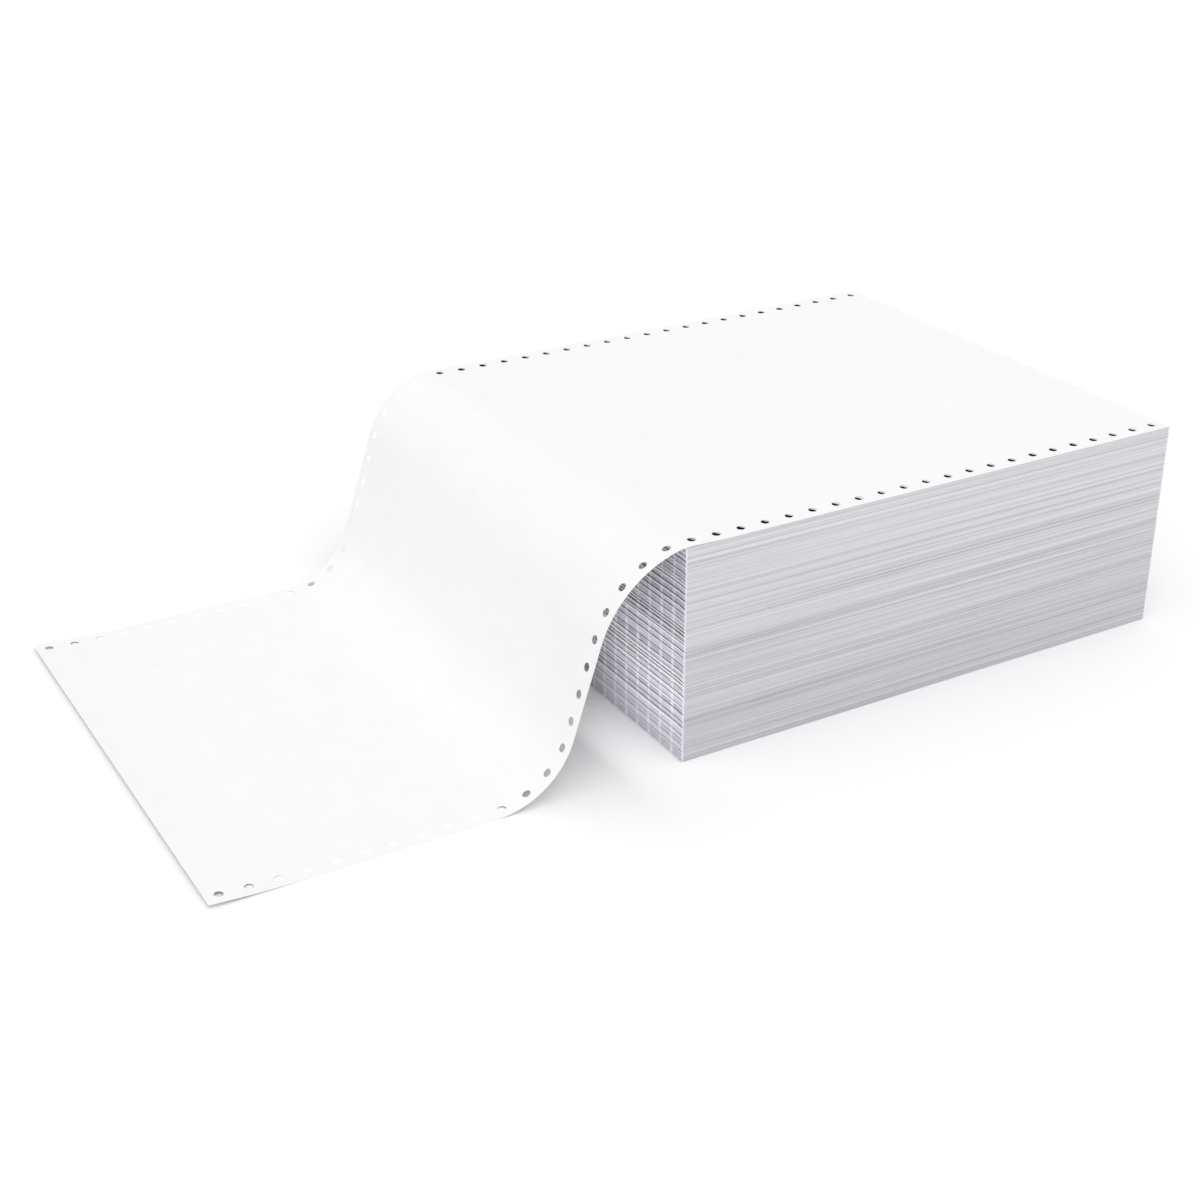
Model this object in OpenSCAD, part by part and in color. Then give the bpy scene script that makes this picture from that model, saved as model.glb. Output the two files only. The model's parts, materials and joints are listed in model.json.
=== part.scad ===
// Stack of continuous form paper: one long web, punched along both edges and folded to and fro.
// Its last form leaves the top of the stack at one fold end, hangs down in a bend and lies on
// the surface that the stack stands on.
// The origin is the centre of the stack's base. X runs along the feed, with the lead sheet on
// the -X side, Y runs across the forms and Z is up. Sizes are in millimetres.

/* [Forms] */
// Length of one form along the feed, from fold to fold
form_length = 279.4; // [241.3:0.1:355.6]
// Width of the paper across the feed
form_width = 254; // [120:0.5:400]
// Thickness of one sheet
sheet_t = 0.1; // [0.08:0.01:0.25]

/* [Sprocket holes] */
// Distance between neighbouring sprocket holes along the feed
hole_pitch = 12.7; // [8:0.1:25.4]
// Diameter of a sprocket hole
hole_d = 4; // [2:0.1:6]
// Distance from a long edge of the paper to the centres of its holes
hole_margin = 6; // [4.5:0.1:12]

/* [Folded stack] */
// Height of the folded stack, up to the face of its top form
stack_height = 105; // [80:1:150]
// Height of one fold as it shows at a fold end, a small bundle of sheets
fold_pitch = 2.1; // [1.8:0.1:6]
// Depth of the creases between the folds at the two fold ends
fold_depth = 0.6; // [0.2:0.05:1]
// Depth of the lines between the leaves at the two cut sides
leaf_depth = 0.25; // [0.1:0.05:0.4]
// The most that a fold or a leaf stays behind its neighbours
stray = 0.3; // [0:0.05:0.5]

/* [Lead sheet] */
// Slope of the lead sheet where it leaves the stack's top, in degrees
leave_angle = 10; // [0:1:20]
// Steepest slope of the lead sheet, in degrees
fall_angle = 72; // [55:1:85]
// Radius of the upper bend
upper_bend_r = 48; // [30:1:60]
// Radius of the lower bend, where the lead sheet comes to lie flat
lower_bend_r = 40; // [20:1:60]

/* [Hidden] */

PAPER = [0.97, 0.97, 0.98];
HOLE_SIDES = 16; // facets round a hole where it is drawn as a mesh
CUT_PAST = 1; // how far the holes are cut past the stack's faces
CUT_LENGTH = 4; // each hole in the lead sheet is cut this far along its axis
BEND_STEP = 4; // turn of the sheet from one facet of a bend to the next, in degrees

// The four sides of the stack, as seeds for the unevenness of their edges
LEFT = 0;
RIGHT = 1;
NEAR = 2;
FAR = 3;

// A fold is round at its top and bottom and flat in front. The corners of its edge lie at these
// shares of its height, and its rounding stays back by a share of the crease's depth.
FOLD_ROUND = 0.15;
FOLD_FLAT = 0.35;
ROUND_BACK = 0.2;
// A line between two leaves takes up this share of a leaf, above and below it
LEAF_LINE = 0.2;
// A leaf strays by this share of what a fold may stray
LEAF_STRAY = 0.5;

// Two waves run over the layers and add up to their unevenness. Each has its share of the sum,
// its turn from one layer to the next and its turn from one side to the next, in degrees.
LONG_WAVE = [0.7, 97, 41];
SHORT_WAVE = [0.3, 23, 67];

// The sprocket holes of one form
hole_count = floor(form_length / hole_pitch + 0.01);
first_hole = (form_length - (hole_count - 1) * hole_pitch) / 2;
hole_rows = [-1, 1] * (form_width / 2 - hole_margin);

// The folded body under the top form. A leaf is what lies between a fold at one end and
// the next fold at the other end, so there are two leaves to a fold.
// Its uppermost leaf reaches half-way into the thickness of the top form, which joins them.
body_h = stack_height - sheet_t / 2;
fold_count = max(2, round(body_h / fold_pitch));
fold_h = body_h / fold_count;
leaf_h = fold_h / 2;

// Distance gone along X and down along Z, on an arc whose slope goes from one angle to another,
// and on a straight stretch
function arc_run(r, from, to) = r * [sin(to) - sin(from), cos(from) - cos(to)];
function straight_run(length, angle) = length * [cos(angle), sin(angle)];
function arc_length(r, turn) = r * turn * PI / 180;

// The lead sheet's path along the middle of its thickness starts at the fold on the stack's top
// edge. It has an upper bend, a straight fall, a lower bend and a flat stretch.
path_start = [-form_length / 2, stack_height - sheet_t / 2];
upper_run = arc_run(upper_bend_r, leave_angle, fall_angle);
lower_run = -arc_run(lower_bend_r, fall_angle, 0);
fall_length = (path_start[1] - sheet_t / 2 - upper_run[1] - lower_run[1]) / sin(fall_angle);
fall_run = straight_run(fall_length, fall_angle);

// Distances along the path at which the fall starts and ends and the sheet comes to lie flat
fall_start = arc_length(upper_bend_r, fall_angle - leave_angle);
fall_end = fall_start + fall_length;
landing = fall_end + arc_length(lower_bend_r, fall_angle);

// Slope of the lead sheet in degrees, at the distance s along its path
function slope(s) =
    s < fall_start ? leave_angle + (fall_angle - leave_angle) * s / fall_start :
    s < fall_end ? fall_angle :
    s < landing ? fall_angle * (landing - s) / (landing - fall_end) : 0;

// Distance gone along X and down along Z, at the distance s along the path
function run(s) =
    s < fall_start ? arc_run(upper_bend_r, leave_angle, slope(s)) :
    s < fall_end ? upper_run + straight_run(s - fall_start, fall_angle) :
    s < landing ? upper_run + fall_run - arc_run(lower_bend_r, fall_angle, slope(s)) :
    upper_run + fall_run + lower_run + [s - landing, 0];

// Point in the XZ plane that lies off the path's middle by the given offset
function path_point(s, offset) =
    path_start - run(s) + offset * [-sin(slope(s)), cos(slope(s))];

// A fixed, uneven number from 0 to 1 for each layer, by which its edge strays
function wave(w, i, side) = w[0] * sin(i * w[1] + side * w[2]);
function uneven(i, side) = abs(wave(LONG_WAVE, i, side) + wave(SHORT_WAVE, i, side));

// The edge of one fold or leaf, as distances in from the outer plane at heights
function fold_edge(i, low, high, side) = let (h = high - low, back = stray * uneven(i, side)) [
    [fold_depth, low],
    [back + fold_depth * ROUND_BACK, low + h * FOLD_ROUND],
    [back, low + h * FOLD_FLAT],
    [back, high - h * FOLD_FLAT],
    [back + fold_depth * ROUND_BACK, high - h * FOLD_ROUND]
];
function leaf_edge(i, side) = let (low = i * leaf_h, back = stray * LEAF_STRAY * uneven(i, side)) [
    [back + leaf_depth, low],
    [back, low + leaf_h * LEAF_LINE],
    [back, low + leaf_h * (1 - LEAF_LINE)]
];

// The folds at the -X end sit one above another. Those at the +X end are half a fold higher,
// because the web turns back there between them.
left_folds = [for (i = [0 : fold_count - 1]) each fold_edge(i, i * fold_h, (i + 1) * fold_h, LEFT)];
right_folds = [for (i = [0 : fold_count])
    each fold_edge(i, max(0, (i - 0.5) * fold_h), min(body_h, (i + 0.5) * fold_h), RIGHT)];
near_leaves = [for (i = [0 : 2 * fold_count - 1]) each leaf_edge(i, NEAR)];
far_leaves = [for (i = [0 : 2 * fold_count - 1]) each leaf_edge(i, FAR)];

// Closes two edges of layers, one at each side of a width, to one outline
function layered(width, low_edge, high_edge, top_in) = concat(
    [for (p = low_edge) [-width / 2 + p[0], p[1]]],
    [[-width / 2 + top_in, body_h], [width / 2 - top_in, body_h]],
    [for (i = [len(high_edge) - 1 : -1 : 0]) [width / 2 - high_edge[i][0], high_edge[i][1]]]
);

// The folded forms under the top one
module folded_body() {
    intersection() {
        translate([0, form_width, 0]) rotate([90, 0, 0]) linear_extrude(2 * form_width)
            polygon(layered(form_length, left_folds, right_folds, fold_depth));
        translate([-form_length, 0, 0]) rotate([90, 0, 90]) linear_extrude(2 * form_length)
            polygon(layered(form_width, near_leaves, far_leaves, leaf_depth));
    }
}

// Distances along the path at which the facets of the lead sheet meet
function bend_steps(from, to, turn) = let (n = ceil(turn / BEND_STEP))
    [for (i = [0 : n - 1]) from + (to - from) * i / n];
path_steps = concat(
    bend_steps(0, fall_start, fall_angle - leave_angle),
    [fall_start],
    bend_steps(fall_end, landing, fall_angle),
    [landing, form_length]
);

// The top form with the lead sheet that hangs from it, as one sheet
module top_sheet() {
    right_end = form_length / 2 - fold_depth;
    rotate([90, 0, 0]) linear_extrude(form_width, center = true) polygon(concat(
        [[right_end, stack_height]],
        [for (s = path_steps) path_point(s, sheet_t / 2)],
        [for (i = [len(path_steps) - 1 : -1 : 0]) path_point(path_steps[i], -sheet_t / 2)],
        [[right_end, stack_height - sheet_t]]
    ));
}

// The sprocket holes through the whole stack
module stack_holes() {
    for (y = hole_rows, i = [0 : hole_count - 1])
        translate([first_hole + i * hole_pitch - form_length / 2, y, -CUT_PAST])
            cylinder(d = hole_d, h = stack_height + 2 * CUT_PAST, $fn = HOLE_SIDES);
}

// The sprocket holes of the lead sheet, each square to the sheet
module lead_holes() {
    for (y = hole_rows, i = [0 : hole_count - 1]) {
        s = first_hole + i * hole_pitch;
        p = path_point(s, 0);
        translate([p[0], y, p[1]]) rotate([0, -slope(s), 0])
            cylinder(d = hole_d, h = CUT_LENGTH, center = true, $fn = HOLE_SIDES);
    }
}

module fanfold_web() {
    color(PAPER) difference() {
        union() {
            folded_body();
            top_sheet();
        }
        stack_holes();
        lead_holes();
    }
}

fanfold_web();
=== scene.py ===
"""A stack of continuous form paper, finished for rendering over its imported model.

One long web of paper is folded to and fro. The block of folded forms is built from the edges of its
sheets, and the two uppermost forms are one bent sheet with punched edges: the top form on the block, and
the lead sheet that hangs from it and comes to lie on the floor.
"""

import json
import math

import bpy
import numpy as np
from bpy.props import FloatProperty, FloatVectorProperty, IntProperty, PointerProperty
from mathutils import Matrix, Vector
from mathutils.geometry import tessellate_polygon


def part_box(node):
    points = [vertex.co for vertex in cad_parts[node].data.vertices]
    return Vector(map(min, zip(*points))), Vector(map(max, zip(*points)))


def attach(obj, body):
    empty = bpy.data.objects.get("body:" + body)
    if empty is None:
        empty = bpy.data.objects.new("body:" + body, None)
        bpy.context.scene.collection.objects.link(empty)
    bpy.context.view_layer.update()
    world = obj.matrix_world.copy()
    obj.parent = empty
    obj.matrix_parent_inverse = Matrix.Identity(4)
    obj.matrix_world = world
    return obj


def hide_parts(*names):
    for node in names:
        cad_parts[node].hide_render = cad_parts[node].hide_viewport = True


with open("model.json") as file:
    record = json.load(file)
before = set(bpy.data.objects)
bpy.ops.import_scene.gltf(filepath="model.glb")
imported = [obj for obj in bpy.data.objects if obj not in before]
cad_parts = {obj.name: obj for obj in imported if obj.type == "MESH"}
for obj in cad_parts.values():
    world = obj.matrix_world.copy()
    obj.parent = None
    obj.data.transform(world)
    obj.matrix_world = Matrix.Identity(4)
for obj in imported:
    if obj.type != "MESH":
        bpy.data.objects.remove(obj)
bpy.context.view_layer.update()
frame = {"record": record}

bl_info = {
    "name": "Continuous form paper stack",
    "version": (1, 0, 0),
    "blender": (4, 5, 0),
    "location": "3D View > Sidebar > Form paper",
    "description": "Builds a fan-folded stack of continuous form paper with its lead sheet",
    "category": "Add Mesh",
}

NODE = "fanfold_web"
MM = 0.001

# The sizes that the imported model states
MOUNTS = {mount["name"]: mount for mount in frame["record"]["mounts"]}
SPROCKET_ROW = MOUNTS["near_sprocket_row"]
OUTER_HOLES = MOUNTS["outermost_sprocket_holes"]
HOLE_PITCH = SPROCKET_ROW["dims"]["spacing_x_mm"] * MM
HOLE_RADIUS = SPROCKET_ROW["dims"]["hole_r_mm"] * MM
HOLE_COUNT = round(OUTER_HOLES["dims"]["spacing_x_mm"] * MM / HOLE_PITCH) + 1
ROW_Y = abs(SPROCKET_ROW["pos_m"][1])
STACK_HEIGHT = SPROCKET_ROW["pos_m"][2]
FORM_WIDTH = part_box(NODE)[1].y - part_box(NODE)[0].y
FORM_LENGTH = HOLE_COUNT * HOLE_PITCH

HOLE_SIDES = 24  # facets round one hole, a multiple of four
SIDE_STEPS = HOLE_SIDES // 4  # steps along each side of the square that holds a hole
HOLE_TURN = 0.1  # turn from one hole of the block to the next, in radians, so that no corners align
NEAR, RIGHT, FAR, LEFT = range(4)

BLOCK_TOP = 1.2  # the block ends this many sheets under the stack's face, just below the top form
ALONG_POINTS = 9  # points of a layer's edge along a cut side, between its corners
ACROSS_POINTS = 11  # and along a fold end
CORNER = 6 * MM  # a layer's edge evens out over this distance from a corner
CORNER_SHARE = 0.2  # share of its stray that a fold keeps at the corners
SWAY = 0.3  # share by which a layer's stray grows and shrinks along its edge
SWAY_TURN = 2.6  # how far the sway of a layer's edge turns from the middle to an end, in radians

WANDER_DEPTH = 1.6 * MM  # the holes wander aside over this depth under the top form
LEDGE_DEPTH = 0.45 * MM  # and go a good part of the way within this depth, which leaves a pale ledge
LEDGE_SHARE = 0.55  # share of the way that they go there
WANDER_START = 4.8  # turn of their wandering at the left end of a row, in radians
WANDER_TURN = 0.38  # turn from one hole to the next, in radians
WANDER_SWING = 0.5  # share by which their wandering grows and shrinks along a row
WANDER_ROWS = (1.0, 0.7)  # how much of the usual the near row and the far row wander

MIDDLE_ROWS = 20  # rows of faces between the two punched edges
WEB_CLEARANCE = 0.15 * MM  # the top form's right end stays inside the folds below it by this
PATH_STEP = 0.5 * MM  # between the points of the bent sheet's path
SMOOTHING = 2.5 * MM  # each way, along the bent sheet
CURL_LENGTH = 45 * MM  # the free end lifts over this length
SHARP_ANGLE = math.radians(35)  # the bent sheet is shaded smooth up to this angle between faces
SQUARE_CORNER = -0.75 * math.pi  # direction from a hole's centre to the first corner of its square

# Places along the top sheet, as distances from the fold, which are negative on the stack
LIFT_START = -25 * MM
LIFT_FULL = -14 * MM
LIFT_END = -3 * MM
BEND_START = 6 * MM  # from here on the sheet has the slope of its upper bend

FIRST_FALL = 20 * MM  # length of the straight fall, as a first guess
FALL_ROUNDS = 3  # times that it is set right, until the lead sheet lies on the floor

# The lamp behind the lead sheet, with shares of the form's width and of the stack's height
CARD_GAP = 31 * MM  # from the fold end
CARD_WIDTH = 0.27
CARD_HEIGHT = 0.42
CARD_ASIDE = 0.38  # from the middle of the width towards the near side
CARD_UP = 0.36

SENSOR = 36  # width of the camera's sensor, in millimetres
FLOOR_SIZE = 40.0  # in metres
FLOOR_GAP = 0.02 * MM  # keeps the floor clear of the faces that stand on it

# Sockets of a Mix node that mixes colours
MIX_FACTOR, MIX_FIRST, MIX_SECOND, MIX_RESULT = 0, 6, 7, 2


class PaperSizes(bpy.types.PropertyGroup):
    """Sizes of the forms, the stack and the lead sheet."""

    form_length: FloatProperty(
        name="Form length", description="Length of one form from fold to fold",
        default=FORM_LENGTH, unit="LENGTH")
    form_width: FloatProperty(
        name="Form width", description="Width of the paper across the feed",
        default=FORM_WIDTH, unit="LENGTH")
    stack_height: FloatProperty(
        name="Stack height", description="Height of the stack up to the face of its top form",
        default=STACK_HEIGHT, unit="LENGTH")
    sheet: FloatProperty(
        name="Sheet thickness", description="Thickness of one sheet",
        default=0.1 * MM, unit="LENGTH")
    hole_radius: FloatProperty(
        name="Hole radius", description="Radius of a sprocket hole",
        default=HOLE_RADIUS, unit="LENGTH")
    row_y: FloatProperty(
        name="Hole row", description="Distance of a row of holes from the middle of the width",
        default=ROW_Y, unit="LENGTH")
    lower_bend: FloatProperty(
        name="Lower bend", description="Radius of the bend where the sheet comes to lie flat",
        default=40 * MM, unit="LENGTH")
    upper_bend: FloatProperty(
        name="Upper bend", description="Radius of the bend over the stack's edge",
        default=48 * MM, unit="LENGTH")
    leave_angle: FloatProperty(
        name="Leave angle", description="Slope at which the upper bend starts",
        default=math.radians(10), subtype="ANGLE")
    fall_angle: FloatProperty(
        name="Fall angle", description="Steepest slope of the lead sheet",
        default=math.radians(72), subtype="ANGLE")
    lift_angle: FloatProperty(
        name="Lift", description="Slope at which the stiff sheet lifts just before the edge",
        default=math.radians(1.5), subtype="ANGLE")
    curl_angle: FloatProperty(
        name="Curl", description="Upward slope of the free end, left by its old fold",
        default=math.radians(5), subtype="ANGLE")
    skew: FloatProperty(
        name="Skew", description="How much wider the upper bend is along the near edge than in the middle",
        default=5.8 * MM, unit="LENGTH")


class PaperFinish(bpy.types.PropertyGroup):
    """Unevenness and colours of the paper."""

    seed: IntProperty(
        name="Seed", description="Start of the fixed random numbers that place the sheets", default=24)
    fold_stray: FloatProperty(
        name="Fold stray", description="How far a bundle of folds may stay back at a fold end",
        default=0.6 * MM, unit="LENGTH")
    leaf_stray: FloatProperty(
        name="Leaf stray", description="How far a bundle of sheets may stay back at a cut side",
        default=0.12 * MM, unit="LENGTH")
    hole_wander: FloatProperty(
        name="Hole wander", description="How far the holes under the top form lie aside of the top one's",
        default=0.66 * MM, unit="LENGTH")
    face: FloatVectorProperty(
        name="Paper face", description="Colour of the paper's face", subtype="COLOR",
        size=3, min=0, max=1, default=(0.915, 0.915, 0.915))
    cut_light: FloatVectorProperty(
        name="Cut edges, light", description="Light streaks of the cut sides", subtype="COLOR",
        size=3, min=0, max=1, default=(0.77, 0.77, 0.80))
    cut_dark: FloatVectorProperty(
        name="Cut edges, dark", description="Dark streaks of the cut sides", subtype="COLOR",
        size=3, min=0, max=1, default=(0.46, 0.46, 0.495))
    cut_warm: FloatVectorProperty(
        name="Cut edges, warm", description="Light streaks with a warmer tint", subtype="COLOR",
        size=3, min=0, max=1, default=(0.77, 0.773, 0.785))
    # Painted shade down the sprocket holes, below their rims
    bore: FloatVectorProperty(
        name="Hole depths", description="Walls of the sprocket holes below their rims", subtype="COLOR",
        size=3, min=0, max=1, default=(0.025, 0.025, 0.03))
    # The light end of the folds' tones, which the lips reach as a painted highlight on the crests
    fold_light_and_crest_highlight: FloatVectorProperty(
        name="Folds, light", description="Crests and ties at the fold ends", subtype="COLOR",
        size=3, min=0, max=1, default=(0.97, 0.97, 0.98))
    # The dark end of the folds' tones, which the gaps reach as painted shade between the folds
    fold_dark_and_gap_shade: FloatVectorProperty(
        name="Folds, dark", description="Gaps between the folds", subtype="COLOR",
        size=3, min=0, max=1, default=(0.24, 0.22, 0.33))
    ties: IntProperty(
        name="Number of ties", description="Uncut ties of the fold's perforation across the paper's width",
        default=26)
    tie: FloatVectorProperty(
        name="Ties", description="Paper of the ties, between the slits of the perforation",
        subtype="COLOR", size=3, min=0, max=1, default=(0.90, 0.90, 0.89))
    tie_cover: FloatProperty(
        name="Tie cover", description="How much the ties hide of the lines between the folds",
        default=0.66)


class StudioSettings(bpy.types.PropertyGroup):
    """Camera, lamps and floor."""

    camera_at: FloatVectorProperty(
        name="Camera", description="Place of the camera", subtype="XYZ", unit="LENGTH",
        size=3, default=(-0.5464, -0.7486, 0.4483))
    camera_aim: FloatVectorProperty(
        name="Aim", description="Point that the camera looks at", subtype="XYZ", unit="LENGTH",
        size=3, default=(-0.108, -0.001, 0.019))
    lens: FloatProperty(
        name="Lens", description=f"Focal length for a {SENSOR} mm sensor, in millimetres", default=58.2)
    sky: FloatProperty(
        name="Sky", description="Strength of the even light from all round", default=0.86)
    key: FloatProperty(
        name="Key light", description="Strength of the wide soft light from above", default=0.50)
    key_from: FloatVectorProperty(
        name="Key direction", description="Direction that the key light comes from", subtype="DIRECTION",
        size=3, default=(-0.1, -0.3, 0.9))
    fill: FloatProperty(
        name="Fill light", description="Strength of the low light that reaches in under the lead sheet",
        default=0.62)
    fill_from: FloatVectorProperty(
        name="Fill direction", description="Direction that the fill light comes from",
        subtype="DIRECTION", size=3, default=(-0.62, -0.78, 0.22))
    spread: FloatProperty(
        name="Spread", description="Angle over which each of the two lights is spread",
        default=math.radians(50), subtype="ANGLE")
    card: FloatProperty(
        name="Card", default=0.0105,
        description="Power of the small soft light behind the lead sheet's near edge, in watts")
    floor: FloatVectorProperty(
        name="Floor", description="Colour of the floor as the paper is lit by it", subtype="COLOR",
        size=3, min=0, max=1, default=(0.70, 0.70, 0.70))


class Value:
    """A number or vector in a node tree. Arithmetic on it adds Math nodes."""

    def __init__(self, finish, output):
        self.finish = finish
        self.output = output

    def math(self, operation, *values):
        return self.finish.node("ShaderNodeMath", {"operation": operation}, dict(enumerate(values)))

    def __add__(self, other):
        return self.math("ADD", self, other)

    def __sub__(self, other):
        return self.math("SUBTRACT", self, other)

    def __rsub__(self, other):
        return self.math("SUBTRACT", other, self)

    def __mul__(self, other):
        return self.math("MULTIPLY", self, other)

    def __truediv__(self, other):
        return self.math("DIVIDE", self, other)

    __radd__ = __add__
    __rmul__ = __mul__

    def cosine(self):
        return self.math("COSINE", self)

    def size(self):
        return self.math("ABSOLUTE", self)

    def larger(self, other):
        return self.math("MAXIMUM", self, other)

    def scaled(self, x, y, z):
        """The vector with each of its directions multiplied."""
        return self.finish.node(
            "ShaderNodeVectorMath", {"operation": "MULTIPLY"}, {0: self, 1: (x, y, z)})


class Finish:
    """A tree of shader nodes under construction."""

    def __init__(self, owner):
        owner.use_nodes = True
        self.tree = owner.node_tree
        self.tree.nodes.clear()

    def node(self, kind, settings, inputs, output=0):
        """Makes a node, sets it up, feeds its sockets and gives one of its outputs, if it has any."""
        node = self.tree.nodes.new(kind)
        for name, value in settings.items():
            setattr(node, name, value)
        for name, value in inputs.items():
            if isinstance(value, Value):
                self.tree.links.new(value.output, node.inputs[name])
            else:
                node.inputs[name].default_value = value
        return Value(self, node.outputs[output]) if len(node.outputs) else None

    def place(self):
        """Where the shaded point is, in metres in the stack's own frame."""
        return self.node("ShaderNodeTexCoord", {}, {}, "Object")

    def part(self, vector, axis):
        return self.node("ShaderNodeSeparateXYZ", {}, {0: vector}, axis)

    def upward(self):
        """1 where the surface faces up, 0 where it is upright and -1 where it faces down."""
        return self.part(self.node("ShaderNodeTexCoord", {}, {}, "Normal"), "Z")

    def layer(self, name):
        """A number that each layer of the block carries on its edge."""
        return self.node("ShaderNodeAttribute", {"attribute_name": name}, {}, "Fac")

    def noise(self, vector, detail, roughness):
        return self.node(
            "ShaderNodeTexNoise", {"noise_dimensions": "3D"},
            {"Vector": vector, "Scale": 1.0, "Detail": detail, "Roughness": roughness}, "Fac")

    def stretched(self, value, low, high):
        """The value with low brought to 0 and high to 1, and smooth between them."""
        return self.node(
            "ShaderNodeMapRange", {"interpolation_type": "SMOOTHSTEP"},
            {"Value": value, "From Min": low, "From Max": high})

    def mix(self, factor, first, second):
        """The first colour, turning into the second as the factor goes to 1."""
        colours = [value if isinstance(value, Value) else (*value, 1.0) for value in (first, second)]
        return self.node(
            "ShaderNodeMix", {"data_type": "RGBA"},
            {MIX_FACTOR: factor, MIX_FIRST: colours[0], MIX_SECOND: colours[1]}, MIX_RESULT)

    def bump(self, height, depth):
        return self.node("ShaderNodeBump", {}, {"Height": height, "Strength": 1.0, "Distance": depth})

    def matt(self, colour, roughness, normal, specular):
        """Closes the tree with a Principled shader."""
        shader = self.node(
            "ShaderNodeBsdfPrincipled", {},
            {"Base Color": colour, "Roughness": roughness, "Normal": normal,
             "Specular IOR Level": specular})
        self.node("ShaderNodeOutputMaterial", {}, {"Surface": shader})

    def seen_directly(self):
        """1 for what the camera sees, straight or by a reflection, and 0 for light on things."""
        rays = [
            self.node("ShaderNodeLightPath", {}, {}, name)
            for name in ("Is Camera Ray", "Is Glossy Ray", "Is Transmission Ray")
        ]
        return rays[0].larger(rays[1]).larger(rays[2])


def shade(colour, factor):
    """The colour made darker or lighter by a factor."""
    return tuple(channel * factor for channel in colour)


# The grain of each finish is noise with so many waves a metre along X, Y and Z
CLOUD_GRAIN = (55, 55, 55)
SPECK_GRAIN = (900, 900, 900)
FIBRE_GRAIN = (2600, 1100, 2600)
CLOUD_SHARE = 0.6  # share of the clouds in the shade of the paper's face, the rest being specks
FACE_SHADE = 0.972  # how dark the clouds and specks make it at most
FIBRE_DEPTH = 0.02 * MM


def paper_face(look):
    """Uncoated paper: nearly even white, with faint clouds and a fine felt of fibres."""
    material = bpy.data.materials.new("paper_face")
    finish = Finish(material)
    place = finish.place()
    clouds = finish.noise(place.scaled(*CLOUD_GRAIN), detail=4, roughness=0.6)
    clouds = finish.stretched(clouds, low=0.3, high=0.7)
    specks = finish.noise(place.scaled(*SPECK_GRAIN), detail=3, roughness=0.6)
    specks = finish.stretched(specks, low=0.35, high=0.65)
    fibres = finish.noise(place.scaled(*FIBRE_GRAIN), detail=5, roughness=0.65)
    light = clouds * CLOUD_SHARE + specks * (1 - CLOUD_SHARE)
    colour = finish.mix(light, shade(look.face, FACE_SHADE), look.face)
    finish.matt(colour, roughness=0.8, normal=finish.bump(fibres, FIBRE_DEPTH), specular=0.25)
    return material


# Streaks of the cut sides, each kind with its grain and its share in how light the sides are
BROAD_GRAIN = (1.5, 1.5, 130)
MIDDLE_GRAIN = (3.5, 3.5, 620)
FINE_GRAIN = (6, 6, 1400)
TINT_GRAIN = (3, 3, 300)
BUNDLE_SHARE = 0.38
BROAD_SHARE = 0.1
MIDDLE_SHARE = 0.45
FINE_SHARE = 0.65
HEIGHT_SHADE_SHARE = 0.22  # how much lighter the sides get from the stack's base to its top, as painted shade that darkens them towards the base
STREAK_DEPTH = 0.12 * MM
HIGHLIGHT_START = 1.0 * MM  # so far inside the folds a cut side starts to turn pale towards their round, as a painted highlight
HIGHLIGHT_END = 0.4 * MM  # and so far inside them it is at its palest
# How far the painted highlight goes towards the paper's face colour
HIGHLIGHT_SHARE = 0.8


def cut_edges(look, sizes):
    """The cut sides: streaks of many sheets, each run of them a little lighter or darker than the next, with
    painted shade towards the base and a painted highlight by the folds.
    """
    material = bpy.data.materials.new("cut_edges")
    finish = Finish(material)
    place = finish.place()
    broad = finish.noise(place.scaled(*BROAD_GRAIN), detail=1, roughness=0.5)
    middle = finish.noise(place.scaled(*MIDDLE_GRAIN), detail=2, roughness=0.6)
    fine = finish.noise(place.scaled(*FINE_GRAIN), detail=3, roughness=0.7)
    streaks = finish.layer("cut_tone") * BUNDLE_SHARE + broad * BROAD_SHARE
    streaks = streaks + middle * MIDDLE_SHARE + fine * FINE_SHARE
    # Painted shade: the cut sides get darker towards the stack's base
    height = finish.part(place, "Z") / sizes.stack_height
    light = finish.stretched(streaks + height * HEIGHT_SHADE_SHARE, low=0.53, high=1.28)
    tint = finish.noise(place.scaled(*TINT_GRAIN), detail=1, roughness=0.5)
    tinted = finish.mix(finish.stretched(tint, low=0.45, high=0.65), look.cut_light, look.cut_warm)
    colour = finish.mix(light, look.cut_dark, tinted)
    fold = sizes.form_length / 2
    # Painted highlight on the cut sides along the round of the folds
    fold_highlight = finish.stretched(finish.part(place, "X").size(), fold - HIGHLIGHT_START, fold - HIGHLIGHT_END)
    colour = finish.mix(fold_highlight * HIGHLIGHT_SHARE, colour, look.face)
    finish.matt(colour, roughness=0.85, normal=finish.bump(streaks, STREAK_DEPTH), specular=0.2)
    return material


# The fold ends: raggedness of the ties, and streaks with their shares in how light the folds are
RAGGED_GRAIN = (40, 40, 260)
FOLD_GRAIN = (20, 20, 1700)
LONG_GRAIN = (10, 10, 600)
RAGGED_SHARE = 0.8
FOLD_GRAIN_SHARE = 0.3
LONG_GRAIN_SHARE = 0.2
FOLD_DEPTH = 0.2 * MM


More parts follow.
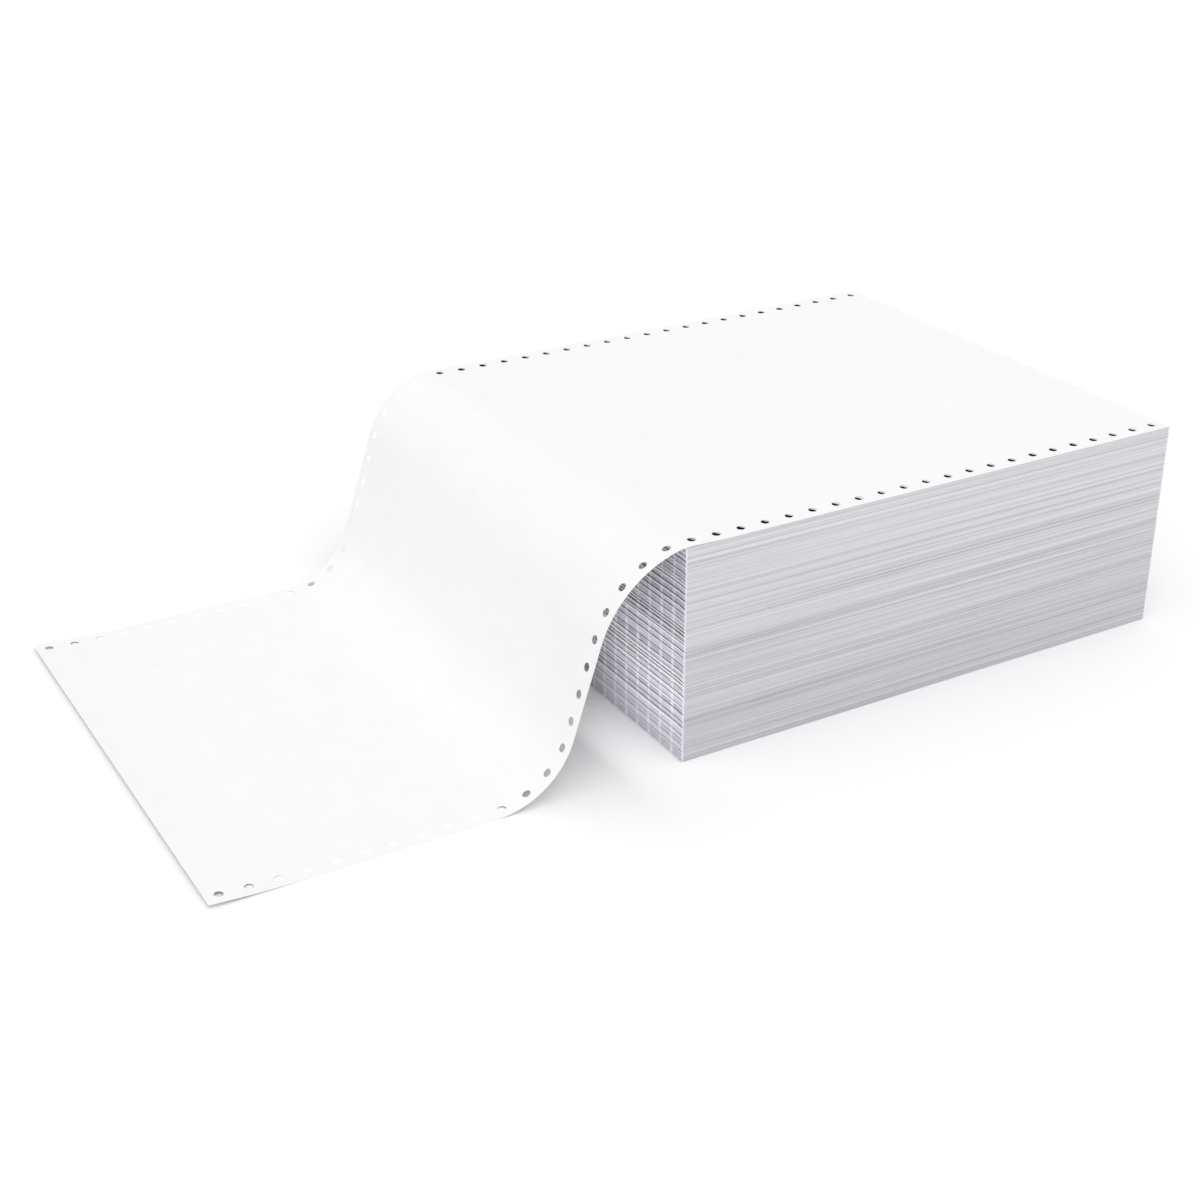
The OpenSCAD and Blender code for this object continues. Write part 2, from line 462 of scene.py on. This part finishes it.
def fold_ends(look, sizes):
    """The fold ends: crests and gaps of the folds, with painted highlights on the crests and painted shade
    in the gaps, crossed by the ties that the perforation leaves.
    """
    material = bpy.data.materials.new("fold_ends")
    finish = Finish(material)
    place = finish.place()
    wave = (finish.part(place, "Y") * (2 * math.pi * look.ties / sizes.form_width)).cosine()
    ragged = finish.noise(place.scaled(*RAGGED_GRAIN), detail=2, roughness=0.5)
    ties = finish.stretched(wave + ragged * RAGGED_SHARE, low=1.0, high=1.45)
    fine = finish.noise(place.scaled(*FOLD_GRAIN), detail=2, roughness=0.6)
    long_streaks = finish.noise(place.scaled(*LONG_GRAIN), detail=2, roughness=0.5)
    usual = (FOLD_GRAIN_SHARE + LONG_GRAIN_SHARE) / 2
    # The tones carry painted highlights on the crests and painted shade in the gaps, besides the bundles'
    # own tone
    tone = finish.layer("fold_tone_and_painted_light") + fine * FOLD_GRAIN_SHARE + long_streaks * LONG_GRAIN_SHARE - usual
    colour = finish.mix(finish.stretched(tone, low=0.0, high=1.0), look.fold_dark_and_gap_shade, look.fold_light_and_crest_highlight)
    colour = finish.mix(ties * look.tie_cover, colour, look.tie)
    finish.matt(colour, roughness=0.85, normal=finish.bump(tone, FOLD_DEPTH), specular=0.2)
    return material


# Painted shade: the walls of the holes darken from the first of these depths to the second. The edges of the
# sheets shift that a little, and on a terrace it comes lower down, both in millimetres.
BORE_SHADE_START = 0.1 * MM
BORE_SHADE_FULL = 0.5 * MM
SHEET_SHIFT = 0.3
TERRACE_SHIFT = 0.9
TERRACE_SHARE = 0.6  # share of the paper's face colour in a terrace
BORE_GRAIN = (60, 60, 1500)
BORE_BUMPS = 0.1 * MM


def bore_walls(look, sizes):
    """The walls of the sprocket holes: punched edges of sheets, painted dark as shade but for the rim where
    light gets in.

    Where the holes wander aside, the faces of the sheets below show as narrow terraces.
    """
    material = bpy.data.materials.new("bore_walls")
    finish = Finish(material)
    place = finish.place()
    sheets = finish.noise(place.scaled(*BORE_GRAIN), detail=3, roughness=0.6)
    colour = finish.mix(finish.stretched(sheets, low=0.3, high=0.7), look.cut_dark, look.cut_light)
    terraces = finish.stretched(finish.upward(), low=0.05, high=0.5)
    colour = finish.mix(terraces * TERRACE_SHARE, colour, look.face)
    shift = (sheets * SHEET_SHIFT - terraces * TERRACE_SHIFT) * MM
    depth = sizes.stack_height - finish.part(place, "Z") + shift
    # Painted shade down the hole
    colour = finish.mix(finish.stretched(depth, BORE_SHADE_START, BORE_SHADE_FULL), colour, look.bore)
    finish.matt(colour, roughness=0.9, normal=finish.bump(sheets, BORE_BUMPS), specular=0.1)
    return material


def floor_finish(studio):
    """A plain pale floor. It is white to the camera but lights the paper as a greyer floor does."""
    material = bpy.data.materials.new("floor")
    finish = Finish(material)
    colour = finish.mix(finish.seen_directly(), studio.floor, (1, 1, 1))
    shader = finish.node("ShaderNodeBsdfDiffuse", {}, {"Color": colour})
    finish.node("ShaderNodeOutputMaterial", {}, {"Surface": shader})
    return material


def new_piece(name, points, faces, materials):
    """Adds a mesh object, with its place in its mesh, to the scene."""
    mesh = bpy.data.meshes.new(name)
    mesh.from_pydata(points, [], faces)
    for material in materials:
        mesh.materials.append(material)
    piece = bpy.data.objects.new(name, mesh)
    bpy.context.scene.collection.objects.link(piece)
    return piece


def bundles(random, layers, usual, spread):
    """Splits the layers into bundles of uneven thickness, and gives where each starts and ends."""
    start = 0
    while start < layers:
        count = max(FEWEST_SHEETS, round(random.lognormal(math.log(usual), spread)))
        yield start, min(start + count, layers)
        start += count


# The sheets in one bundle: their usual number and how much it varies
FOLD_BUNDLES = (28, 0.33)
LESSER_BUNDLES = (9, 0.45)
CUT_BUNDLES = (8, 0.5)
FEWEST_SHEETS = 2
LINE_SHEETS = 2  # sheets in a dark line between two lesser bundles or cut ones

# A bundle at a fold end has a lip at its top, lighter by a painted highlight, and a gap at its bottom,
# darker by painted shade. A pair gives the least and the most, and the most isn't reached where sheets are
# counted. How far the sheets stay back is told as a share of the fold's stray.
CREASE = (0.35, 1.0)  # how strong the lip and the gap are
LIP_SHEETS = (5, 8)
GAP_SHEETS = (4, 8)
BUNDLE_BACK = (0.5, 1.0)
LIP_FORWARD = 0.6
GAP_BACK = 1.8
BUNDLE_TONE = (0.42, 0.60)
# Painted highlight on a lip and painted shade in a gap
LIP_HIGHLIGHT = 0.42
GAP_SHADE = 0.40
LESSER_BACK = (0.05, 0.3)
LESSER_DARKER = (0.0, 0.18)
SHEET_BACK = 0.06  # by how much single sheets differ

# The same at a cut side, where some of the bundles start with a dark line
CUT_TONE = 0.6
CUT_TONE_STEP = (0.05, 0.25)  # bundles are in turn darker and lighter than that by so much
LINE_CHANCE = 0.35
LINE_BACK = (0.5, 1.5)
LINE_DARKER = (0.15, 0.4)


def fold_layers(random, layers, stray):
    """How far each layer stays back at a fold end, how light it is there with painted highlights on the lips
    and painted shade in the gaps, and how it sways across.
    """
    back = np.zeros(layers)
    tone = np.zeros(layers)
    sway = np.zeros(layers)
    for start, end in bundles(random, layers, *FOLD_BUNDLES):
        crease = random.uniform(*CREASE)
        lip = end - random.integers(*LIP_SHEETS)
        gap = start + random.integers(*GAP_SHEETS)
        back[start:end] = random.uniform(*BUNDLE_BACK)
        back[lip:end] -= LIP_FORWARD * crease
        back[start:gap] += GAP_BACK * crease
        tone[start:end] = random.uniform(*BUNDLE_TONE)
        # Painted highlight on the lip and painted shade in the gap
        tone[lip:end] += LIP_HIGHLIGHT * crease
        tone[start:gap] -= GAP_SHADE * crease
        sway[start:end] = random.uniform(0, 2 * math.pi)
    for start, _ in bundles(random, layers, *LESSER_BUNDLES):
        back[start:start + LINE_SHEETS] += random.uniform(*LESSER_BACK)
        tone[start:start + LINE_SHEETS] -= random.uniform(*LESSER_DARKER)
    back += random.normal(0, SHEET_BACK, layers)
    return np.clip(back, 0, None) * stray, tone, sway


def cut_layers(random, layers, stray):
    """The same for the layers at a cut side, which are trimmed nearly level with each other."""
    back = np.zeros(layers)
    tone = np.zeros(layers)
    sway = np.zeros(layers)
    step = 1
    for start, end in bundles(random, layers, *CUT_BUNDLES):
        step = -step
        back[start:end] = random.uniform(0.0, 1.0)
        tone[start:end] = CUT_TONE + step * random.uniform(*CUT_TONE_STEP)
        sway[start:end] = random.uniform(0, 2 * math.pi)
        if random.random() < LINE_CHANCE:
            back[start:start + LINE_SHEETS] += random.uniform(*LINE_BACK)
            tone[start:start + LINE_SHEETS] -= random.uniform(*LINE_DARKER)
    return np.clip(back, 0, None) * stray, tone, sway


def hole_centres(sizes):
    """Centres of the stack's sprocket holes, row by row."""
    first = -(HOLE_COUNT - 1) / 2
    return [
        ((first + i) * HOLE_PITCH, row)
        for row in (-sizes.row_y, sizes.row_y)
        for i in range(HOLE_COUNT)
    ]


def hole_points(centre, radius, start):
    """Corners of one hole in plan, counterclockwise from an angle at which they start."""
    angles = [start + 2 * math.pi * k / HOLE_SIDES for k in range(HOLE_SIDES)]
    return [(centre[0] + radius * math.cos(a), centre[1] + radius * math.sin(a)) for a in angles]


def outline_points(sizes):
    """Points round a form, counterclockwise from its near left corner, each with its side.

    The first and last step of each side are short, so that a layer's edge can even out to the corners.
    """
    half_length = sizes.form_length / 2
    half_width = sizes.form_width / 2
    inner_along = np.linspace(-half_length + CORNER, half_length - CORNER, ALONG_POINTS)
    inner_across = np.linspace(-half_width + CORNER, half_width - CORNER, ACROSS_POINTS)
    along = np.concatenate([[-half_length], inner_along])
    across = np.concatenate([[-half_width], inner_across])
    points = [(x, -half_width) for x in along] + [(half_length, y) for y in across]
    points += [(-x, half_width) for x in along] + [(-half_length, -y) for y in across]
    sides = [NEAR] * len(along) + [RIGHT] * len(across) + [FAR] * len(along) + [LEFT] * len(across)
    return np.array(points), sides


def layer_rings(sizes, outline, edges, heights):
    """The outline at every height, each side of it drawn back as its layers stray and sway."""
    half = np.array([sizes.form_length / 2, sizes.form_width / 2])
    rings = np.zeros((len(heights), len(outline), 3))
    rings[:, :, :2] = outline
    rings[:, :, 2] = heights[:, None]
    for side, (back, _, sway) in edges.items():
        across = 0 if side in (LEFT, RIGHT) else 1
        inward = 1 if side in (LEFT, NEAR) else -1
        on_side = np.isclose(outline[:, across], -inward * half[across])
        place = outline[:, 1 - across] / half[1 - across]
        share = 1 + SWAY * np.sin(sway[:, None] + SWAY_TURN * place)
        if side in (LEFT, RIGHT):
            share[:, np.isclose(np.abs(place), 1)] *= CORNER_SHARE
        rings[:, :, across] += inward * back[:, None] * share * on_side
    return rings


def hole_wanders(usual):
    """How far the holes under the top form lie aside, changing slowly from hole to hole of each row."""
    return [
        usual * share * (1 + WANDER_SWING * math.sin(WANDER_START + i * WANDER_TURN))
        for share in WANDER_ROWS
        for i in range(HOLE_COUNT)
    ]


class Shell:
    """A closed mesh under construction, each of its faces with a material slot."""

    def __init__(self):
        self.points = []
        self.faces = []
        self.slots = []

    def ring(self, points):
        """Adds a ring of points, counterclockwise in plan, and gives their indices."""
        first = len(self.points)
        self.points += points
        return range(first, len(self.points))

    def band(self, low, high, slots):
        """Joins two rings by faces that face outward, or inward where the high ring comes first."""
        for i, slot in enumerate(slots):
            after = (i + 1) % len(low)
            self.faces.append((low[i], low[after], high[after], high[i]))
            self.slots.append(slot)

    def cap(self, rings, slot, upward):
        """Fills the first ring, around the others, with flat faces."""
        corners = [[Vector(self.points[i]) for i in ring] for ring in rings]
        index = [i for ring in rings for i in ring]
        for triangle in tessellate_polygon(corners):
            a, b, c = (index[corner] for corner in triangle)
            first, second, third = (Vector(self.points[i]) for i in (a, b, c))
            is_upward = (second - first).cross(third - first).z > 0
            self.faces.append((a, b, c) if is_upward == upward else (c, b, a))
            self.slots.append(slot)


class PAPER_OT_block(bpy.types.Operator):
    """Builds the block of folded forms under the top one, layer by layer"""

    bl_idname = "paper.block"
    bl_label = "Folded block"

    def execute(self, context):
        sizes = context.scene.paper_sizes
        look = context.scene.paper_finish
        random = np.random.default_rng(look.seed)
        materials = [
            cut_edges(look, sizes), fold_ends(look, sizes), bore_walls(look, sizes), paper_face(look)]
        cut, fold, bore, face = range(len(materials))
        top = sizes.stack_height - BLOCK_TOP * sizes.sheet
        layers = round(top / sizes.sheet)
        edges = {
            NEAR: cut_layers(random, layers, look.leaf_stray),
            FAR: cut_layers(random, layers, look.leaf_stray),
            RIGHT: fold_layers(random, layers, look.fold_stray),
            LEFT: fold_layers(random, layers, look.fold_stray),
        }
        outline, sides = outline_points(sizes)
        shell = Shell()
        rings = layer_rings(sizes, outline, edges, np.linspace(0, top, layers)).tolist()
        rings = [shell.ring(ring) for ring in rings]
        side_slots = [fold if side in (LEFT, RIGHT) else cut for side in sides]
        for low, high in zip(rings, rings[1:]):
            shell.band(low, high, side_slots)
        bores = []
        for (x, y), wander in zip(hole_centres(sizes), hole_wanders(look.hole_wander)):
            turn = len(bores) * HOLE_TURN
            levels = {
                0.0: x,
                top - WANDER_DEPTH: x - wander,
                top - LEDGE_DEPTH: x - LEDGE_SHARE * wander,
                top: x,
            }
            hole = []
            for height, centre in levels.items():
                corners = hole_points((centre, y), sizes.hole_radius, turn)
                hole.append(shell.ring([(*corner, height) for corner in corners]))
            for low, high in zip(hole, hole[1:]):
                shell.band(high, low, [bore] * HOLE_SIDES)
            bores.append(hole)
        shell.cap([rings[0]] + [hole[0] for hole in bores], face, False)
        shell.cap([rings[-1]] + [hole[-1] for hole in bores], face, True)
        piece = new_piece("paper_block", shell.points, shell.faces, materials)
        piece.data.polygons.foreach_set("material_index", shell.slots)
        bore_points = len(shell.points) - layers * len(outline)
        for name, axis, low_side, high_side in (("fold_tone_and_painted_light", 0, LEFT, RIGHT), ("cut_tone", 1, NEAR, FAR)):
            low_tone, high_tone = (edges[side][1][:, None] for side in (low_side, high_side))
            tones = np.where(outline[:, axis] < 0, low_tone, high_tone)
            attribute = piece.data.attributes.new(name, "FLOAT", "POINT")
            attribute.data.foreach_set("value", np.concatenate([tones.ravel(), np.zeros(bore_points)]))
        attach(piece, "root")
        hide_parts(NODE)
        return {"FINISHED"}


def web_slopes(sizes, upper_bend, fall, distance):
    """Downward slope of the top sheet at distances from the fold, negative on the stack."""
    upper_end = upper_bend * (sizes.fall_angle - sizes.leave_angle)
    landing = upper_end + fall + sizes.lower_bend * sizes.fall_angle
    marks = {
        LIFT_START: 0.0,
        LIFT_FULL: -sizes.lift_angle,
        LIFT_END: -sizes.lift_angle,
        BEND_START: sizes.leave_angle + BEND_START / upper_bend,
        upper_end: sizes.fall_angle,
        upper_end + fall: sizes.fall_angle,
        landing: 0.0,
        sizes.form_length - CURL_LENGTH: 0.0,
        sizes.form_length: -sizes.curl_angle,
    }
    slopes = np.interp(distance, list(marks), list(marks.values()))
    reach = round(SMOOTHING / PATH_STEP)
    padded = np.pad(slopes, reach, mode="edge")
    return np.convolve(padded, np.ones(2 * reach + 1) / (2 * reach + 1), mode="valid")


def web_path(sizes, upper_bend):
    """Distance, X, Z and slope along one long line of the top sheet, for one radius of the upper bend."""
    distance = np.arange(-sizes.form_length, sizes.form_length + PATH_STEP / 2, PATH_STEP)
    steep = math.sin(sizes.fall_angle)
    before_curl = distance < sizes.form_length - CURL_LENGTH - SMOOTHING
    fall = FIRST_FALL
    for _ in range(FALL_ROUNDS):
        slopes = web_slopes(sizes, upper_bend, fall, distance)
        drop = np.sum(np.sin(slopes[before_curl])) * PATH_STEP
        fall += (sizes.stack_height - sizes.sheet - drop) / steep
    slopes = web_slopes(sizes, upper_bend, fall, distance)
    gone = np.concatenate([[0], np.cumsum(np.cos(slopes[1:])) * PATH_STEP])
    dropped = np.concatenate([[0], np.cumsum(np.sin(slopes[1:])) * PATH_STEP])
    x = sizes.form_length / 2 - gone
    z = sizes.stack_height - sizes.sheet / 2 - dropped
    return distance, x, z, slopes


class PunchedPlan:
    """The top form and the lead sheet laid out flat: corners and faces with a hole in each edge square."""

    def __init__(self, sizes):
        margin = sizes.form_width / 2 - sizes.row_y
        strip = np.linspace(-margin, margin, SIDE_STEPS + 1)
        inner = np.linspace(-sizes.row_y + margin, sizes.row_y - margin, MIDDLE_ROWS + 1)
        self.columns = [c * HOLE_PITCH / SIDE_STEPS for c in range(2 * HOLE_COUNT * SIDE_STEPS + 1)]
        self.columns[0] = WEB_CLEARANCE
        self.rows = [*(strip - sizes.row_y), *inner[1:-1], *(strip + sizes.row_y)]
        self.points = [(u, v) for u in self.columns for v in self.rows]
        self.faces = []
        last_cell = len(self.rows) - 1 - SIDE_STEPS
        for column in range(len(self.columns) - 1):
            for row in range(SIDE_STEPS, last_cell):
                self.faces.append([
                    self.at(column, row), self.at(column + 1, row),
                    self.at(column + 1, row + 1), self.at(column, row + 1)])
        for hole in range(2 * HOLE_COUNT):
            for row in (0, last_cell):
                self.punch(hole * SIDE_STEPS, row, sizes.hole_radius)

    def at(self, column, row):
        return column * len(self.rows) + row

    def punch(self, column, row, radius):
        """Fills one square at an edge with faces round its hole."""
        steps = range(SIDE_STEPS)
        rim = [self.at(column + k, row) for k in steps]
        rim += [self.at(column + SIDE_STEPS, row + k) for k in steps]
        rim += [self.at(column + SIDE_STEPS - k, row + SIDE_STEPS) for k in steps]
        rim += [self.at(column, row + SIDE_STEPS - k) for k in steps]
        u = (column + SIDE_STEPS / 2) * HOLE_PITCH / SIDE_STEPS
        v = (self.rows[row] + self.rows[row + SIDE_STEPS]) / 2
        first = len(self.points)
        self.points += hole_points((u, v), radius, SQUARE_CORNER)
        for k in range(HOLE_SIDES):
            after = (k + 1) % HOLE_SIDES
            self.faces.append([rim[k], rim[after], first + after, first + k])


class PAPER_OT_web(bpy.types.Operator):
    """Builds the top form and the lead sheet as one bent sheet with punched edges"""

    bl_idname = "paper.web"
    bl_label = "Top form and lead sheet"

    def execute(self, context):
        sizes = context.scene.paper_sizes
        plan = PunchedPlan(sizes)
        u, v = np.array(plan.points).T
        share = v / sizes.form_width + 0.5
        shapes = []
        for bend in (sizes.upper_bend + sizes.skew, sizes.upper_bend - sizes.skew):
            distance, *lines = web_path(sizes, bend)
            shapes.append([np.interp(u - sizes.form_length, distance, line) for line in lines])
        x, z, slope = ((1 - share) * near + share * far for near, far in zip(*shapes))
        offset = sizes.sheet / 2
        upper = np.column_stack([x - offset * np.sin(slope), v, z + offset * np.cos(slope)])
        lower = np.column_stack([x + offset * np.sin(slope), v, z - offset * np.cos(slope)])
        count = len(upper)
        points = np.concatenate([upper, lower]).tolist()
        top_faces = [face[::-1] for face in plan.faces]
        edges = {(face[k - 1], face[k]) for face in top_faces for k in range(len(face))}
        walls = [[b, a, a + count, b + count] for a, b in sorted(edges) if (b, a) not in edges]
        bottom_faces = [[corner + count for corner in face] for face in plan.faces]
        piece = new_piece(
            "lead_web", points, top_faces + bottom_faces + walls, [bpy.data.materials["paper_face"]])
        piece.data.shade_smooth()
        piece.data.set_sharp_from_angle(angle=SHARP_ANGLE)
        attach(piece, "root")
        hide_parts(NODE)
        return {"FINISHED"}


class PAPER_OT_studio(bpy.types.Operator):
    """Adds the floor, the light and the camera"""

    bl_idname = "paper.studio"
    bl_label = "Studio"

    def execute(self, context):
        studio = context.scene.paper_studio
        scene = context.scene
        reach = FLOOR_SIZE / 2
        floor = new_piece(
            "floor", [(-reach, -reach, 0), (reach, -reach, 0), (reach, reach, 0), (-reach, reach, 0)],
            [(0, 1, 2, 3)], [floor_finish(studio)])
        floor.location.z = -FLOOR_GAP
        world = bpy.data.worlds.new("even_light")
        finish = Finish(world)
        colour = finish.mix(finish.seen_directly(), (studio.sky,) * 3, (1, 1, 1))
        background = finish.node("ShaderNodeBackground", {}, {"Color": colour, "Strength": 1.0})
        finish.node("ShaderNodeOutputWorld", {}, {"Surface": background})
        scene.world = world
        for name in ("key", "fill"):
            lamp = bpy.data.lights.new(name, "SUN")
            lamp.angle = studio.spread
            lamp.energy = getattr(studio, name)
            self.place(scene, name, lamp, Vector(getattr(studio, name + "_from")), Vector((0, 0, 0)))
        self.card(scene)
        camera = bpy.data.cameras.new("camera")
        camera.sensor_width = SENSOR
        camera.lens = studio.lens
        camera.clip_end = 2 * FLOOR_SIZE
        scene.camera = self.place(
            scene, "camera", camera, Vector(studio.camera_at), Vector(studio.camera_aim))
        scene.view_settings.view_transform = "Standard"
        return {"FINISHED"}

    def card(self, scene):
        """Adds an unseen soft lamp behind the lead sheet, which lights the gap as a reflector card would."""
        sizes = scene.paper_sizes
        lamp = bpy.data.lights.new("card", "AREA")
        lamp.shape = "RECTANGLE"
        lamp.size = CARD_WIDTH * sizes.form_width
        lamp.size_y = CARD_HEIGHT * sizes.stack_height
        lamp.energy = scene.paper_studio.card
        fold_end = Vector((
            -sizes.form_length / 2, -CARD_ASIDE * sizes.form_width, CARD_UP * sizes.stack_height))
        card = self.place(scene, "card", lamp, fold_end - Vector((CARD_GAP, 0, 0)), fold_end)
        card.visible_camera = False

    def place(self, scene, name, data, position, aim):
        """Puts a lamp or camera where it belongs and turns it to what it looks at."""
        thing = bpy.data.objects.new(name, data)
        thing.location = position
        thing.rotation_euler = (aim - position).to_track_quat("-Z", "Y").to_euler()
        scene.collection.objects.link(thing)
        return thing


class PAPER_PT_sidebar(bpy.types.Panel):
    """Lists what the stack is made of, with its sizes and colours"""

    bl_idname = "PAPER_PT_sidebar"
    bl_label = "Form paper"
    bl_space_type = "VIEW_3D"
    bl_region_type = "UI"
    bl_category = "Form paper"

    def draw(self, context):
        for operator in (PAPER_OT_block, PAPER_OT_web, PAPER_OT_studio):
            self.layout.operator(operator.bl_idname)
        for settings in ("paper_sizes", "paper_finish", "paper_studio"):
            group = getattr(context.scene, settings)
            box = self.layout.box()
            for name in group.__annotations__:
                box.prop(group, name)


SETTINGS = {"paper_sizes": PaperSizes, "paper_finish": PaperFinish, "paper_studio": StudioSettings}
CLASSES = (*SETTINGS.values(), PAPER_OT_block, PAPER_OT_web, PAPER_OT_studio, PAPER_PT_sidebar)


def register():
    for item in CLASSES:
        bpy.utils.register_class(item)
    for name, group in SETTINGS.items():
        setattr(bpy.types.Scene, name, PointerProperty(type=group))


def unregister():
    for name in SETTINGS:
        delattr(bpy.types.Scene, name)
    for item in reversed(CLASSES):
        bpy.utils.unregister_class(item)


def main():
    register()
    bpy.ops.paper.block()
    bpy.ops.paper.web()
    bpy.ops.paper.studio()


if __name__ == "__main__":
    main()
